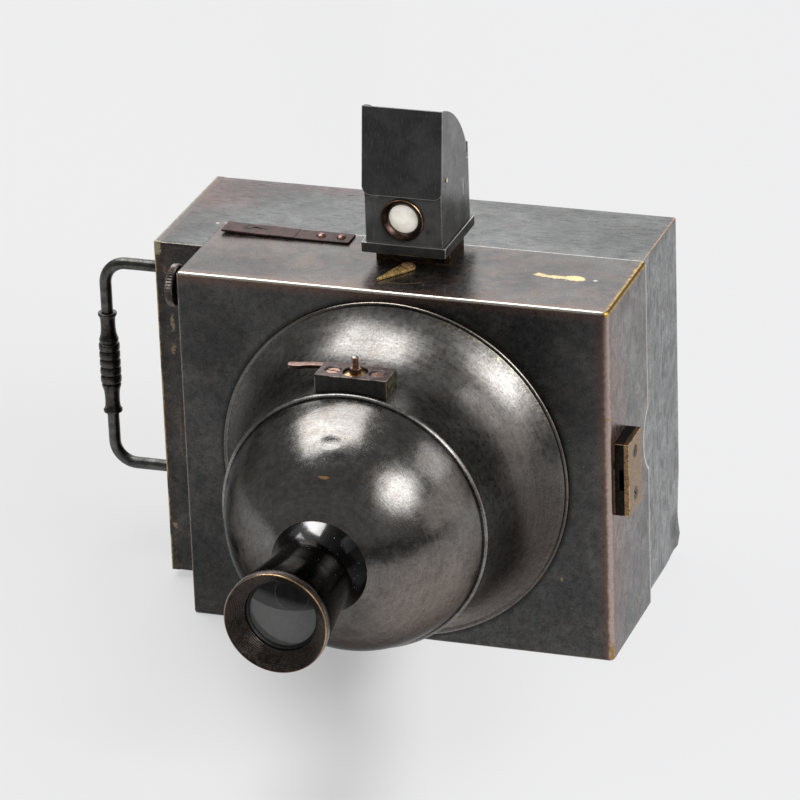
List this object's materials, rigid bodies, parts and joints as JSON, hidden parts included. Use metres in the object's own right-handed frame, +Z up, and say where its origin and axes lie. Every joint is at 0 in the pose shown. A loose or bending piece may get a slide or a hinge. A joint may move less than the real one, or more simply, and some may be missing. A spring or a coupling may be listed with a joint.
{
  "type": "plate camera",
  "caption": "Metal box plate camera with a ball-and-bell front, rotary hemispherical shutter, slide-in changing magazine with a carrying handle, and a folding-hood reflex finder.",
  "frame": {"origin": "mouth of the tripod bush in the underside of the front box", "axes": "+X to the right as seen by someone facing the lens, -Y towards the subject along the lens axis, +Z up"},
  "size_m": [0.2082, 0.209, 0.1828],
  "materials": {
    "black_lacquer": "worn satin black lacquer over brass",
    "magazine_lacquer": "worn satin black lacquer over brass",
    "drawer_lacquer": "worn black lacquer with bare brass edges",
    "spun_gunmetal": "spun brass, dark oxidised, half gloss",
    "black_enamel": "high gloss black enamel",
    "bronzed_hood": "dark brown bronzed brass with a worn gold rim",
    "matt_black": "matt black inside finish",
    "raw_brass": "dull bare brass",
    "optical_glass": "polished lens glass",
    "block_brass": "browned black brass",
    "copper_screws": "coppery worn screw heads",
    "spring_steel": "blued spring steel",
    "arbor_bronze": "oily bronze",
    "lever_copper": "coppery worn brass",
    "pointer_brass": "golden brass, half bare",
    "knob_brass": "knurled dark brass",
    "rusty_spring": "rusty brown spring steel",
    "shoe_brass": "aged brass",
    "finder_black": "satin black with silver-worn edges",
    "finder_ring": "dark copper ring",
    "finder_glass": "milky finder lens",
    "mirror": "silvered mirror",
    "ground_glass": "ground glass",
    "plate_tin": "black tinned sheath",
    "plate_glass": "coated glass plate",
    "handle_steel": "blackened steel"
  },
  "bodies": {
    "camera": {"body_shell": "black_lacquer", "channel_frame": "matt_black", "channel_runners": "raw_brass", "tripod_bush": "raw_brass", "bell": "spun_gunmetal", "bell_screws": "raw_brass", "lip_ring": "spun_gunmetal", "ball_front": "spun_gunmetal", "lens_barrel": "black_enamel", "lens_hood": "bronzed_hood", "front_lens": "optical_glass", "front_lens_ring": "matt_black", "diaphragm_stop": "matt_black", "rear_lens": "optical_glass", "rear_lens_ring": "matt_black", "arbor_block": "block_brass", "arbor_block_screws": "copper_screws", "shutter_lower_pivot": "copper_screws", "shutter_spring": "spring_steel", "spring_bracket": "raw_brass", "selector_screw": "copper_screws", "knob_bush": "raw_brass", "catch_root": "rusty_spring", "catch_rivets": "copper_screws", "side_shoe": "shoe_brass", "side_shoe_cover": "shoe_brass", "side_shoe_screws": "shoe_brass", "top_shoe": "block_brass", "top_shoe_cover": "block_brass", "top_shoe_screws": "block_brass"},
    "shutter": {"shutter_shell": "matt_black", "shutter_arbor": "arbor_bronze", "shutter_disc": "raw_brass"},
    "release": {"release_lever": "lever_copper"},
    "pointer": {"selector_lever": "pointer_brass"},
    "knob": {"knob": "knob_brass"},
    "catch": {"catch_leaf": "rusty_spring"},
    "magazine": {"magazine_case": "magazine_lacquer"},
    "drawer": {"drawer_front": "drawer_lacquer", "drawer_tray": "drawer_lacquer", "plate_guides": "matt_black", "plate_sheaths": "plate_tin", "glass_plates": "plate_glass", "pressure_plate": "plate_tin", "pressure_springs": "spring_steel", "handle_rod": "handle_steel", "handle_grip": "handle_steel", "handle_collars": "handle_steel"},
    "finder": {"finder_base": "finder_black", "finder_body": "finder_black", "finder_lens_ring": "finder_ring", "finder_lens": "finder_glass", "finder_mirror": "mirror", "finder_screen": "ground_glass", "finder_pins": "raw_brass"},
    "hood": {"finder_hood": "finder_black"}
  },
  "joints": [
    {"name": "shutter_turn", "type": "hinge", "parent": "camera", "child": "shutter", "pos_m": [0, -0.0486, 0.0626], "axis": [0, 0, 1], "range_deg": [-90, 0], "stiffness_Nm_per_rad": 0.01, "springref_deg": 17.19},
    {"name": "release_press", "type": "hinge", "parent": "camera", "child": "release", "pos_m": [-0.0076, -0.0486, 0.11], "axis": [0, 0, 1], "range_deg": [0, 9], "stiffness_Nm_per_rad": 0.002, "springref_deg": -5.73},
    {"name": "pointer_turn", "type": "hinge", "parent": "camera", "child": "pointer", "pos_m": [-0.0003, 0.0078, 0.1274], "axis": [0, 0, 1], "range_deg": [0, 64]},
    {"name": "knob_turn", "type": "hinge", "parent": "camera", "child": "knob", "pos_m": [-0.0785, -0.004, 0.118], "axis": [1, 0, 0], "range_deg": [0, 330]},
    {"name": "catch_lift", "type": "hinge", "parent": "camera", "child": "catch", "pos_m": [-0.046, 0.0273, 0.1269], "axis": [0, 1, 0], "range_deg": [0, 5], "stiffness_Nm_per_rad": 0.02, "springref_deg": -5.73},
    {"name": "magazine_slide", "type": "slide", "parent": "camera", "child": "magazine", "axis": [-1, 0, 0], "range_m": [0, 0.168]},
    {"name": "drawer_pull", "type": "slide", "parent": "magazine", "child": "drawer", "axis": [-1, 0, 0], "range_m": [0, 0.13]},
    {"name": "finder_slide", "type": "slide", "parent": "camera", "child": "finder", "axis": [0, -1, 0], "range_m": [0, 0.0135]},
    {"name": "hood_fold", "type": "hinge", "parent": "finder", "child": "hood", "pos_m": [-0.0008, 0.0111, 0.1583], "axis": [1, 0, 0], "range_deg": [-83, 0]}
  ]
}
